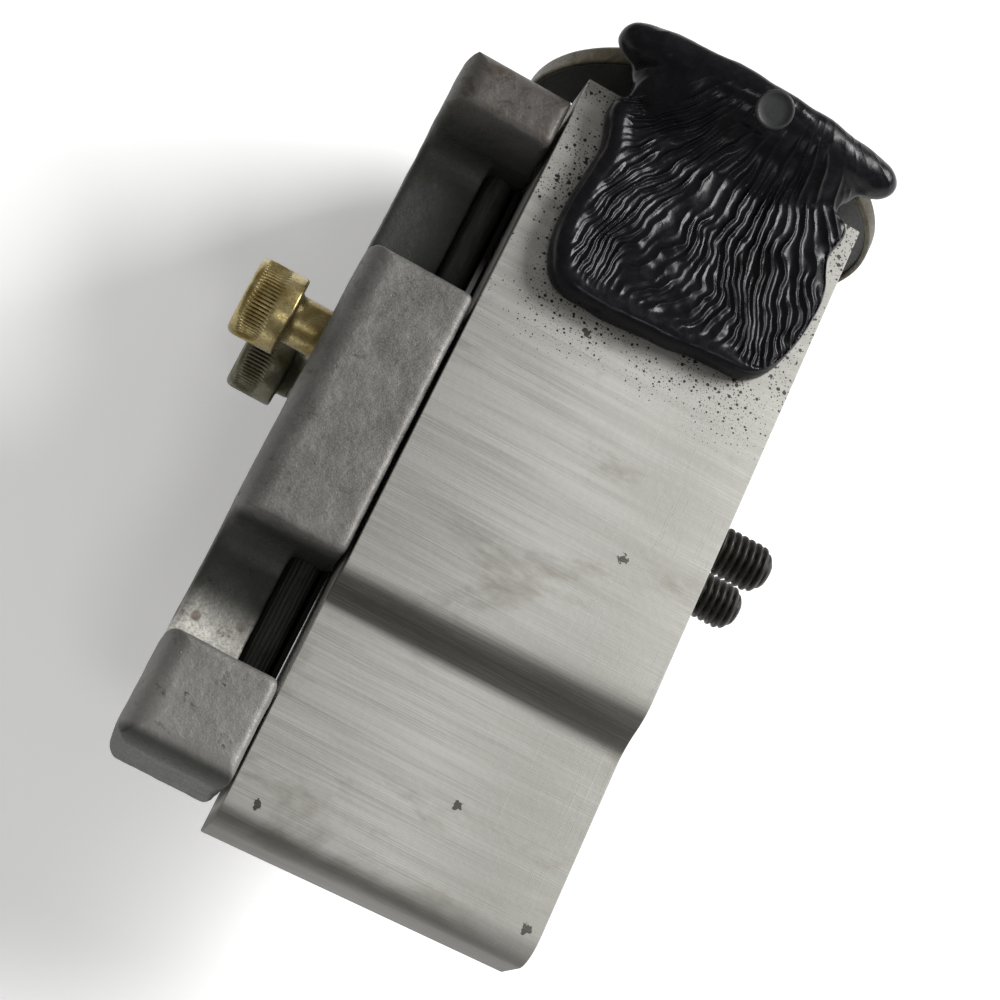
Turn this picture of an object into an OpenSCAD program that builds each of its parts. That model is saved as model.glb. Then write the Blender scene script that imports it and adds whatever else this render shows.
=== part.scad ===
// Swivel clamp coupling for a beam or rail.
// A stepped extruded block and a die-cast jaw pinch a plate between them, drawn together by two
// M8 socket head cap screws.  A round flange cup turns on the end of the block on a greased pin
// with a ball thrust bearing, and a wrinkled pad of black mastic seals the block's end.
//
// Frame: the origin is on the swivel axis at the back face of the flange cup, +Y runs out of the
// flange away from the clamp, +X runs from the jaw to the block and +Z is up.

/* [Block] */
// Width of the block, from the jaw side to the free side
block_w = 50; // [46:1:56]
// Length of the upper level, from the step to the end face
upper_l = 88; // [84:1:100]
// Length of the lower level, from the foot of the step to the end of the nose
lower_l = 34; // [28:1:44]
// Full depth of the block under the upper level
block_d = 44; // [42:1:50]
// Drop of the step between the two levels
step_h = 4.6; // [3:0.2:6]
// Run of the smooth step between the two levels
step_l = 8.4; // [7:0.2:12]
// Thickness of the nose that reaches out over the beam
nose_t = 14.4; // [13:0.2:18]

/* [Jaw] */
// Width of the cast jaw at its top
jaw_w = 17.9; // [16:0.1:22]
// Gap between the jaw pads and the block at rest
jaw_gap = 0.6; // [0.4:0.1:1.5]
// Depth of the recesses between the jaw's three pads
recess_d = 12; // [8:0.5:14]
// How far the far pad's wall leans away from the top recess
wall_lean = 3.3; // [0:0.1:5]
// Thickness of the jaw's nose
jaw_nose_t = 20; // [16:0.5:24]
// Diameter of the two rods that lie in the jaw's inner channels
rod_d = 5; // [4:0.5:5]

/* [Clamp screws] */
// Length of the clamp screws under the head
screw_l = 85; // [80:5:90]
// Distance of the upper screw's head from the block face
upper_stand_off = 23.6; // [20:0.1:28]
// Distance of the lower screw's head from the block face
lower_stand_off = 20; // [19.6:0.1:26]

/* [Flange] */
// Outside diameter of the flange cup
cup_d = 64; // [60:1:70]
// Depth of the cup's rim
cup_rim = 3.5; // [3:0.1:5]
// Sheet thickness of the cup
cup_wall = 1; // [0.8:0.1:1.2]
// Gap between the block's end face and the cup's rim
cup_gap = 4.5; // [4:0.1:6]
// Pitch circle diameter of the four flange holes
flange_pcd = 48; // [44:1:50]

/* [Hidden] */
$fn = 64;
play = 0.05;                                  // radial running clearance
axis_drop = block_d / 2;                      // swivel axis below the block's top
end_y = -(cup_gap + cup_rim);                 // block's end face
step_y = end_y - upper_l;                     // upper edge of the step
foot_y = step_y - step_l;                     // foot of the step
nose_y = foot_y - lower_l;                    // end face of the nose
left_x = -block_w / 2;                        // block's face on the jaw side
right_x = block_w / 2;                        // block's free face
top_z = axis_drop;                            // block's top face
low_z = top_z - step_h;                       // lower level
bottom_z = top_z - block_d;                   // block's bottom
nose_z = low_z - nose_t;                      // underside of the nose
step_r = (step_l * step_l + step_h * step_h) / (4 * step_h);
nose_edge_r = 4.6;
body_y = step_y - 2;                          // where the deep body ends and the nose starts
throat_r = 4;                                 // fillet under the nose
screw_d = 8;                                  // thread size of the clamp screws
screw_play = 0.3;                             // radial clearance of the drilled screw holes
screw_y = step_y + 33;
upper_z = top_z - 12.5;
lower_z = top_z - 34.5;
head_d = 13;
head_h = 8;
hex_af = 6;
hex_deep = 4;
insert_d = 11;
insert_l = 18;
pin_r = 7.5;
pin_in_y = -50;                               // inner end of the swivel pin
pin_groove_y = -34;
pin_groove_w = 4.4;
pin_groove_r = 5.5;
bush_r = 9.5;
bush_in = [-48, -38];                         // the two bushes, from and to along Y
bore_y = -51;                                 // blind end of the bush bore
race_r = 14;
race_hole_r = 8.2;
race_t = 1.2;
pocket_r = 15;
pocket_y = end_y - 4.2;                       // floor of the bearing pocket
bush_out = [-30, pocket_y];
ball_d = 3;
ball_count = 12;
ball_ring_r = 11.1;
ball_y = pocket_y + race_t + ball_d / 2;
cage_t = 1.8;
cage_r = 13.4;
cage_hole_r = 8.8;
felt_t = 0.9;
felt_gap = 0.3;
race2_y = pocket_y + race_t + ball_d;         // clamp side of the flange race
collar_y = race2_y + race_t;
dowel_r = 2;
dowel_x = pin_groove_r + dowel_r + play;
dowel_l = 40;
guide_r = 3;
guide_l = 24;
guide_in = 12;
guide_z = -8;
guide_low_y = step_y + 10;
guide_top_y = step_y + 76;
disc_inset = 0.8;                             // how far the facing lies behind the cup's edge
disc_t = cup_rim - cup_wall - disc_inset;
disc_y = -cup_wall - disc_t;
stud_r = 6;
stud_end_y = 9;
nut_t = 5;
nut_af = 18;
washer_t = 1;
washer_r = 10;
bolt_r = 2.75;
drive_x = 10;
drive_r = 1.5;
drive_in = 2;                                 // how far the drive dowel reaches into the collar
jaw_x1 = left_x - jaw_gap;                    // jaw's inner face
jaw_x0 = jaw_x1 - jaw_w;                      // jaw's outer face
jaw_top_y = step_y + 84;
jaw_end_y = step_y - 38.6;
recess_top = [step_y + 46, step_y + 71];      // the two recesses, from and to along Y
recess_low = [step_y - 21, step_y - 0.5];
recess_r = 5;
rod_x = jaw_x1 - rod_d / 2 - 1.2;
rod_z = top_z - 15;
rod_seat = 3;                                 // how far a rod reaches into the pads at its ends
strip_t = 0.8;
strip_h = 7;
strip_top_z = top_z - 12.5;
strip_top = [step_y + 42, step_y + 80];
strip_low = [step_y - 34, step_y + 6];
seal_r = cup_d / 2 + 0.4;                     // inside of the mastic's lip over the rim
seal_out_r = cup_d / 2 + 4;
pad_inset = 5;                                // from the jaw side of the block to the mastic
pad_w = 43;
pad_l = 36;
pad_t = 4.6;
lip_y = end_y + 3;                            // start of the lip over the cup's rim
lip_w = 6.6;
lip_low = top_z - 4;
lip_h = 20;
button_r = 3.3;
button_t = 2.6;
button_at = [3, -3, cup_d / 2 + 0.9];
button_tilt = 30;

// A cylinder along X that starts at x.
module rod_x_axis(x, y, z, r, l) {
    translate([x, y, z]) rotate([0, 90, 0]) cylinder(r = r, h = l);
}

// A cylinder along Y that starts at y.
module rod_y_axis(x, y, z, r, l) {
    translate([x, y, z]) rotate([-90, 0, 0]) cylinder(r = r, h = l);
}

// A side profile drawn as (Y, Z), extruded along X from x0.
module along_x(x0, w) {
    translate([x0, 0, 0]) rotate([90, 0, 90]) linear_extrude(w) children();
}

// A rectangle from its low and high corners.
module box_2d(y0, z0, y1, z1) {
    translate([y0, z0]) square([y1 - y0, z1 - z0]);
}

// Side profile of the block: deep body, smooth step, and a nose with a rounded upper edge.
module block_profile() {
    box_2d(body_y, bottom_z, end_y, low_z);
    box_2d(step_y, low_z - 1, end_y, top_z);
    translate([step_y, top_z - step_r]) circle(step_r);
    difference() {
        box_2d(foot_y, low_z - 1, step_y, low_z + step_h / 2);
        translate([foot_y, low_z + step_r]) circle(step_r);
    }
    box_2d(nose_y + nose_edge_r, nose_z, step_y, low_z);
    box_2d(nose_y, nose_z, nose_y + nose_edge_r + 1, low_z - nose_edge_r);
    translate([nose_y + nose_edge_r, low_z - nose_edge_r]) circle(nose_edge_r);
    difference() {
        box_2d(body_y - throat_r, nose_z - throat_r, body_y, nose_z);
        translate([body_y - throat_r, nose_z - throat_r]) circle(throat_r);
    }
}

module clamp_block() {
    color([0.72, 0.71, 0.69]) difference() {
        along_x(left_x, block_w) block_profile();
        for (z = [upper_z, lower_z]) {
            rod_x_axis(left_x - 1, screw_y, z, screw_d / 2 + screw_play, block_w + 2);
            rod_x_axis(right_x - insert_l, screw_y, z, insert_d / 2, insert_l + 1);
        }
        rod_y_axis(0, bore_y, 0, bush_r, upper_l);
        rod_y_axis(0, pocket_y, 0, pocket_r, 10);
        for (s = [-1, 1])
            translate([s * dowel_x, pin_groove_y, top_z - dowel_l])
                cylinder(r = dowel_r, h = dowel_l + 1);
        for (y = [guide_low_y, guide_top_y])
            rod_x_axis(left_x - 1, y, guide_z, guide_r, guide_in + 1);
    }
}

// Steel thread insert at the free side of the block.
module thread_insert(z) {
    color([0.45, 0.44, 0.42]) difference() {
        rod_x_axis(right_x - insert_l, screw_y, z, insert_d / 2, insert_l - 0.4);
        rod_x_axis(right_x - insert_l - 1, screw_y, z, screw_d / 2 + play, insert_l + 2);
    }
}
module thread_insert_upper() { thread_insert(upper_z); }
module thread_insert_lower() { thread_insert(lower_z); }

// Plain bronze bush for the swivel pin.
module bush(span) {
    color([0.72, 0.52, 0.26]) difference() {
        rod_y_axis(0, span[0], 0, bush_r, span[1] - span[0]);
        rod_y_axis(0, span[0] - 1, 0, pin_r + play, span[1] - span[0] + 2);
    }
}
module bush_inner() { bush(bush_in); }
module bush_outer() { bush(bush_out); }

// Two dowels that sit in the swivel pin's groove, one on each side, and hold it in.
module retaining_dowels() {
    color([0.5, 0.5, 0.52]) for (s = [-1, 1])
        translate([s * dowel_x, pin_groove_y, top_z - dowel_l])
            cylinder(r = dowel_r, h = dowel_l - 0.5);
}

// Flat ring race of the thrust bearing.
module race(y0, hole) {
    color([0.62, 0.63, 0.65]) difference() {
        rod_y_axis(0, y0, 0, race_r, race_t);
        rod_y_axis(0, y0 - 1, 0, hole, race_t + 2);
    }
}
module thrust_race_block() { race(pocket_y, race_hole_r); }
module thrust_race_flange() { race(race2_y, pin_r); }

// Felt ring between the pocket wall and the races.
module grease_seal() {
    color([0.16, 0.15, 0.14]) difference() {
        rod_y_axis(0, end_y - felt_t / 2, 0, pocket_r, felt_t);
        rod_y_axis(0, end_y - 2, 0, race_r + felt_gap, 4);
    }
}

// Dowel pressed in the block, on which the jaw slides.
module guide_pin(y) {
    color([0.6, 0.6, 0.62]) rod_x_axis(left_x + guide_in - guide_l, y, guide_z, guide_r, guide_l);
}
module guide_pin_low() { guide_pin(guide_low_y); }
module guide_pin_top() { guide_pin(guide_top_y); }

// Soft mastic: a pad on the block's top that climbs to a lip over the rim without touching it.
module mastic_pad() {
    color([0.05, 0.05, 0.055]) {
        translate([left_x + pad_inset, end_y - pad_l, top_z]) cube([pad_w, pad_l, pad_t]);
        intersection() {
            translate([left_x, end_y, top_z]) cube([block_w, cup_gap - 0.4, lip_h]);
            rod_y_axis(0, end_y - 1, 0, seal_out_r, lip_h);
        }
        difference() {
            intersection() {
                translate([left_x, lip_y, lip_low]) cube([block_w, lip_w, lip_h]);
                rod_y_axis(0, end_y - 1, 0, seal_out_r, lip_h);
            }
            rod_y_axis(0, end_y - 2, 0, seal_r, lip_h + 2);
        }
    }
}

// Small round plastic plug pressed in the mastic.
module seal_button() {
    color([0.1, 0.1, 0.11]) translate(button_at) rotate([button_tilt, 0, 0])
        cylinder(r = button_r, h = button_t);
}

// One recess with rounded floor corners.
module recess_2d(span) {
    y0 = span[0];
    y1 = span[1];
    box_2d(y0, top_z - recess_d + recess_r, y1, top_z + 1);
    box_2d(y0 + recess_r, top_z - recess_d, y1 - recess_r, top_z);
    for (y = [y0 + recess_r, y1 - recess_r])
        translate([y, top_z - recess_d + recess_r]) circle(recess_r);
}

// What the leaning wall at the far pad takes away beyond the top recess.
module far_wall_2d() {
    z0 = top_z - recess_d + recess_r;
    y1 = recess_top[1];
    edge_y = y1 + wall_lean;
    polygon([[y1 - 1, z0], [y1, z0], [edge_y, top_z], [edge_y, top_z + 1], [y1 - 1, top_z + 1]]);
}

// Side profile of the jaw: three pads, two recesses, deep body and a thinner nose.
module jaw_profile() {
    difference() {
        union() {
            box_2d(body_y, bottom_z, jaw_top_y, top_z);
            box_2d(jaw_end_y, top_z - jaw_nose_t, jaw_top_y, top_z);
        }
        recess_2d(recess_top);
        recess_2d(recess_low);
        far_wall_2d();
    }
}

// The rod of one recess, as long as the recess and its two seats.
module span_rod(span) {
    rod_y_axis(rod_x, span[0] - rod_seat, rod_z, rod_d / 2, span[1] - span[0] + 2 * rod_seat);
}

// A strip let in flush with the jaw's inner face, t deep.
module span_strip(span, t) {
    translate([jaw_x1 - strip_t, span[0], strip_top_z - strip_h])
        cube([t, span[1] - span[0], strip_h]);
}

module cast_jaw() {
    color([0.5, 0.5, 0.49]) difference() {
        along_x(jaw_x0, jaw_w) jaw_profile();
        for (z = [upper_z, lower_z])
            rod_x_axis(jaw_x0 - 1, screw_y, z, screw_d / 2 + play, jaw_w + 2);
        for (y = [guide_low_y, guide_top_y])
            rod_x_axis(left_x + guide_in - guide_l - 0.5, y, guide_z, guide_r + play, jaw_w);
        for (span = [recess_low, recess_top]) {
            span_rod(span);
            translate([rod_x - rod_d / 2, span[0], rod_z - rod_d / 2])
                cube([jaw_x1 - rod_x + rod_d, span[1] - span[0], recess_d]);
        }
        for (span = [strip_low, strip_top]) span_strip(span, strip_t + 1);
    }
}

// Rods in the jaw's inner channels, seen in the recesses.
module jaw_rod_low() { color([0.13, 0.13, 0.12]) span_rod(recess_low); }
module jaw_rod_top() { color([0.3, 0.31, 0.3]) span_rod(recess_top); }

// Thin hardened strips let into the jaw's inner face.
module wear_strip_low() { color([0.55, 0.55, 0.54]) span_strip(strip_low, strip_t); }
module wear_strip_top() {
    color([0.55, 0.55, 0.54]) difference() {
        span_strip(strip_top, strip_t);
        rod_x_axis(jaw_x0, screw_y, upper_z, screw_d / 2 + screw_play, jaw_w + 2);
    }
}

// Socket head cap screw along +X whose head bears at x.
module cap_screw(x, z) {
    color([0.66, 0.55, 0.3]) difference() {
        union() {
            rod_x_axis(x, screw_y, z, screw_d / 2, screw_l);
            rod_x_axis(x - head_h, screw_y, z, head_d / 2, head_h);
        }
        translate([x - head_h - 1, screw_y, z]) rotate([0, 90, 0])
            cylinder(r = hex_af / sqrt(3), h = hex_deep + 1, $fn = 6);
    }
}
module clamp_screw_upper() { cap_screw(left_x - upper_stand_off, upper_z); }
module clamp_screw_lower() { cap_screw(left_x - lower_stand_off, lower_z); }

// Ring cage with one pocket for each ball.
module ball_cage() {
    color([0.7, 0.55, 0.3]) difference() {
        rod_y_axis(0, ball_y - cage_t / 2, 0, cage_r, cage_t);
        rod_y_axis(0, ball_y - cage_t, 0, cage_hole_r, cage_t * 2);
        for (i = [0 : ball_count - 1]) rotate([0, i * 360 / ball_count, 0])
            rod_y_axis(ball_ring_r, ball_y - cage_t, 0, ball_d / 2 + play, cage_t * 2);
    }
}
module thrust_balls() {
    color([0.78, 0.79, 0.8]) for (i = [0 : ball_count - 1]) rotate([0, i * 360 / ball_count, 0])
        translate([ball_ring_r, ball_y, 0]) sphere(d = ball_d);
}

// Stepped pin: journal, retaining groove, collar behind the cup and a threaded end.
module swivel_pin() {
    color([0.6, 0.6, 0.6]) difference() {
        union() {
            rod_y_axis(0, pin_in_y, 0, pin_r, collar_y - pin_in_y);
            rod_y_axis(0, collar_y, 0, race_r, disc_y - collar_y);
            rod_y_axis(0, disc_y, 0, stud_r, stud_end_y - disc_y);
        }
        difference() {
            rod_y_axis(0, pin_groove_y - pin_groove_w / 2, 0, pin_r + 1, pin_groove_w);
            rod_y_axis(0, pin_groove_y - pin_groove_w, 0, pin_groove_r, pin_groove_w * 2);
        }
        rod_y_axis(drive_x, disc_y - drive_in, 0, drive_r, drive_in + 1);
    }
}

// Holes through the flange: the centre, four bolts and the drive dowel.
module flange_holes(y, l) {
    rod_y_axis(0, y, 0, stud_r, l);
    for (a = [0 : 90 : 270]) rotate([0, a, 0]) rod_y_axis(flange_pcd / 2, y, 0, bolt_r, l);
}

// Black facing bonded inside the cup.
module face_disc() {
    color([0.06, 0.06, 0.06]) difference() {
        rod_y_axis(0, disc_y, 0, cup_d / 2 - cup_wall, disc_t);
        flange_holes(disc_y - 1, disc_t + 2);
        rod_y_axis(drive_x, disc_y - 1, 0, drive_r, disc_t + 2);
    }
}

// Pressed steel cup, open towards the clamp.
module flange_cup() {
    color([0.55, 0.5, 0.33]) difference() {
        rod_y_axis(0, -cup_rim, 0, cup_d / 2, cup_rim);
        rod_y_axis(0, -cup_rim - 1, 0, cup_d / 2 - cup_wall, cup_rim + 1 - cup_wall);
        flange_holes(-cup_rim - 1, cup_rim + 2);
        rod_y_axis(drive_x, -cup_rim - 1, 0, drive_r, cup_rim + 2);
    }
}

// Dowel that keeps the cup from turning on the pin.
module drive_dowel() {
    color([0.6, 0.6, 0.62]) rod_y_axis(drive_x, disc_y - drive_in, 0, drive_r, drive_in - disc_y);
}
module lock_washer() {
    color([0.6, 0.58, 0.5]) difference() {
        rod_y_axis(0, 0, 0, washer_r, washer_t);
        rod_y_axis(0, -1, 0, stud_r, washer_t + 2);
    }
}
module flange_nut() {
    color([0.6, 0.55, 0.35]) difference() {
        translate([0, washer_t, 0]) rotate([-90, 0, 0])
            cylinder(r = nut_af / sqrt(3), h = nut_t, $fn = 6);
        rod_y_axis(0, 0, 0, stud_r, nut_t + 2);
    }
}

clamp_block();
thread_insert_upper();
thread_insert_lower();
bush_inner();
bush_outer();
retaining_dowels();
thrust_race_block();
grease_seal();
guide_pin_low();
guide_pin_top();
mastic_pad();
seal_button();
cast_jaw();
jaw_rod_low();
jaw_rod_top();
wear_strip_low();
wear_strip_top();
clamp_screw_upper();
clamp_screw_lower();
ball_cage();
thrust_balls();
thrust_race_flange();
swivel_pin();
face_disc();
flange_cup();
drive_dowel();
lock_washer();
flange_nut();
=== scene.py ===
"""Looks for the swivel clamp coupling: an extruded block, a die-cast jaw, two cap screws, an olive
zinc-plated flange cup and a wrinkled pad of black mastic.  Lengths are in metres unless a name says mm."""
import math

import bmesh
import bpy
import numpy as np
from mathutils import Matrix, Vector, noise


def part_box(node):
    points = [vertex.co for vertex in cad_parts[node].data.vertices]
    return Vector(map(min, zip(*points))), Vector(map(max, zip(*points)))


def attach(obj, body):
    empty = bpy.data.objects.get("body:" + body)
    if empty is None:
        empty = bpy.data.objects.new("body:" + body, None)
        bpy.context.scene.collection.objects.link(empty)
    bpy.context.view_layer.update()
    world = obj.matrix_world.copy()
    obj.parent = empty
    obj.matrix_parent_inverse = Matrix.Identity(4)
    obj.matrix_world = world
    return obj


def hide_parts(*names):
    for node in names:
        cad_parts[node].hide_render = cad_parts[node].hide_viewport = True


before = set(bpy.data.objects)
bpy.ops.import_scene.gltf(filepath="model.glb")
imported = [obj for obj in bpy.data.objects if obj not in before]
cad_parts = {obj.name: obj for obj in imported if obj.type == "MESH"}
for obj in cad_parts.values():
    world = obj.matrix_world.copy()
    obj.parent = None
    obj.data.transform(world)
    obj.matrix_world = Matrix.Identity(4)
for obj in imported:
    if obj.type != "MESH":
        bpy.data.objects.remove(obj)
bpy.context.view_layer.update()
MM = 0.001


# ---------------------------------------------------------------- places taken from the frame, in mm

def mm_box(node):
    """Lowest and highest corner of a CAD node, in mm."""
    low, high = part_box(node)
    return np.array(low) / MM, np.array(high) / MM


BLOCK_LOW, BLOCK_HIGH = mm_box("clamp_block")
JAW_LOW, JAW_HIGH = mm_box("cast_jaw")
CUP_LOW, CUP_HIGH = mm_box("flange_cup")
UPPER_LOW, UPPER_HIGH = mm_box("clamp_screw_upper")
LOWER_LOW, LOWER_HIGH = mm_box("clamp_screw_lower")
TOP = BLOCK_HIGH[2]                       # the block's upper level
END = BLOCK_HIGH[1]                       # the block's end face
LEFT = BLOCK_LOW[0]                       # the face on the jaw's side
RIGHT = BLOCK_HIGH[0]                     # the free side, where the screws come out
STEP = END - 88.0                         # upper edge of the step
STEP_RUN = 8.4                            # length of the step along Y
DROP = 4.6                                # height of the step
NOSE_T = 14.4                             # thickness of the nose
NOSE_R = 4.6                              # round at the nose's upper edge
UNDER_R = 4.0                             # round where the nose meets the deep body
SCREW_Y = (UPPER_LOW[1] + UPPER_HIGH[1]) / 2
UPPER_Z = (UPPER_LOW[2] + UPPER_HIGH[2]) / 2
LOWER_Z = (LOWER_LOW[2] + LOWER_HIGH[2]) / 2
PITCH = 1.25                              # M8 thread pitch
HEAD_H = 8.0                              # height of an M8 cap screw's head
HEAD_R = 6.5                              # and its radius
SHANK_R = 4.0
SOCKET = 6.0                              # width across the hex socket's flats
JAW_NOSE_T = 20.0                         # thickness of the jaw's nose
RECESS_D = 12.0                           # depth of the jaw's recesses
RECESS_R = 5.0                            # round of a recess's floor corners
TOP_RECESS = (STEP + 46, STEP + 71)       # the recess between the middle and the far pad, along Y
LOW_RECESS = (STEP - 21, STEP - 0.5)      # the recess between the near and the middle pad
WALL_LEAN = 3.3                           # how far the far pad's wall leans outward at its top


# ---------------------------------------------------------------- mesh helpers

def smooth_step(v, low, high):
    """Rises from 0 at low to 1 at high, level at both ends."""
    t = min(max((v - low) / (high - low), 0.0), 1.0)
    return t * t * (3 - 2 * t)


def shade_smooth(mesh):
    mesh.polygons.foreach_set("use_smooth", [True] * len(mesh.polygons))


def add_object(name, verts_mm, faces):
    """A mesh object from vertices in mm."""
    mesh = bpy.data.meshes.new(name)
    mesh.from_pydata([tuple(v) for v in np.asarray(verts_mm) * MM], [], faces)
    mesh.validate()
    obj = bpy.data.objects.new(name, mesh)
    bpy.context.scene.collection.objects.link(obj)
    shade_smooth(mesh)
    return obj


def bake_modifiers(obj):
    """Replaces the object's mesh by what its modifiers make of it."""
    graph = bpy.context.evaluated_depsgraph_get()
    mesh = bpy.data.meshes.new_from_object(obj.evaluated_get(graph))
    obj.modifiers.clear()
    obj.data = mesh


def skin(obj, voxel_mm, passes):
    """Covers the object with one even skin of voxels and relaxes it."""
    mod = obj.modifiers.new("skin", "REMESH")
    mod.mode = "VOXEL"
    mod.voxel_size = voxel_mm * MM
    bake_modifiers(obj)
    mod = obj.modifiers.new("relax", "SMOOTH")
    mod.factor = 0.5
    mod.iterations = passes
    bake_modifiers(obj)


def grid_faces(rows, cols):
    """Quads over a rows x cols grid of vertices, its last column joined to the first."""
    faces = []
    for i in range(rows - 1):
        for j in range(cols):
            k = (j + 1) % cols
            faces.append((i * cols + j, i * cols + k, (i + 1) * cols + k, (i + 1) * cols + j))
    return faces


def turned(name, rows, segments, axis, centre):
    """A turned piece. rows is a list of (place along the axis, radius or radius per angle)."""
    angles = np.arange(segments) * 2 * np.pi / segments
    verts = []
    for along, radius in rows:
        r = radius(angles) if callable(radius) else np.full(segments, float(radius))
        a = np.full(segments, float(along))
        u = r * np.cos(angles)
        v = r * np.sin(angles)
        ring = np.c_[a, u, v] if axis == "x" else np.c_[v, a, u]
        verts.append(ring)
    verts = np.concatenate(verts) + np.asarray(centre)
    faces = grid_faces(len(rows), segments)
    n = len(rows) * segments
    faces.append(tuple(reversed(range(segments))))
    faces.append(tuple(range(n - segments, n)))
    obj = add_object(name, verts, faces)
    fix_normals(obj)
    return obj


def fix_normals(obj):
    """Turns every face outward."""
    work = bmesh.new()
    work.from_mesh(obj.data)
    bmesh.ops.recalc_face_normals(work, faces=work.faces)
    work.to_mesh(obj.data)
    work.free()


def cylinder_cutter(low, high, radius, axis, segments=64):
    """A plain cylinder to cut with; low and high are its end centres in mm, axis is 0 for X or 1 for Y."""
    return turned("cutter", [(0, radius), (high[axis] - low[axis], radius)], segments, "xy"[axis], low)


def cut(obj, cutters):
    """Cuts the cutters out of obj, and deletes them."""
    for cutter in cutters:
        mod = obj.modifiers.new("cut", "BOOLEAN")
        mod.object = cutter
        mod.solver = "EXACT"
        bake_modifiers(obj)
        bpy.data.objects.remove(cutter)


def bevel(obj, width_mm, segments, angle, miter="MITER_SHARP"):
    """Rounds every edge sharper than this angle."""
    mod = obj.modifiers.new("edges", "BEVEL")
    mod.width = width_mm * MM
    mod.segments = segments
    mod.limit_method = "ANGLE"
    mod.angle_limit = math.radians(angle)
    mod.miter_outer = miter
    bake_modifiers(obj)


def shade_by_angle(obj, degrees=32):
    """Smooth shading that keeps edges sharper than this."""
    mesh = obj.data
    shade_smooth(mesh)
    work = bmesh.new()
    work.from_mesh(mesh)
    limit = math.radians(degrees)
    for edge in work.edges:
        edge.smooth = len(edge.link_faces) == 2 and edge.calc_face_angle(0) < limit
    work.to_mesh(mesh)
    work.free()


def arc(cx, cy, r, a0, a1, n):
    """Points on an arc, angles in degrees."""
    t = np.radians(np.linspace(a0, a1, n))
    return [(cx + r * math.cos(a), cy + r * math.sin(a)) for a in t]


def extruded(name, outline, x0, x1, far_outline=None):
    """A side outline of (Y, Z) points in mm, extruded along X, to far_outline if the ends differ."""
    n = len(outline)
    verts = [(x0, y, z) for y, z in outline] + [(x1, y, z) for y, z in far_outline or outline]
    faces = [(i, (i + 1) % n, n + (i + 1) % n, n + i) for i in range(n)]
    faces += [tuple(reversed(range(n))), tuple(range(n, 2 * n))]
    obj = add_object(name, verts, faces)
    fix_normals(obj)
    return obj


# ---------------------------------------------------------------- material helpers

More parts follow.
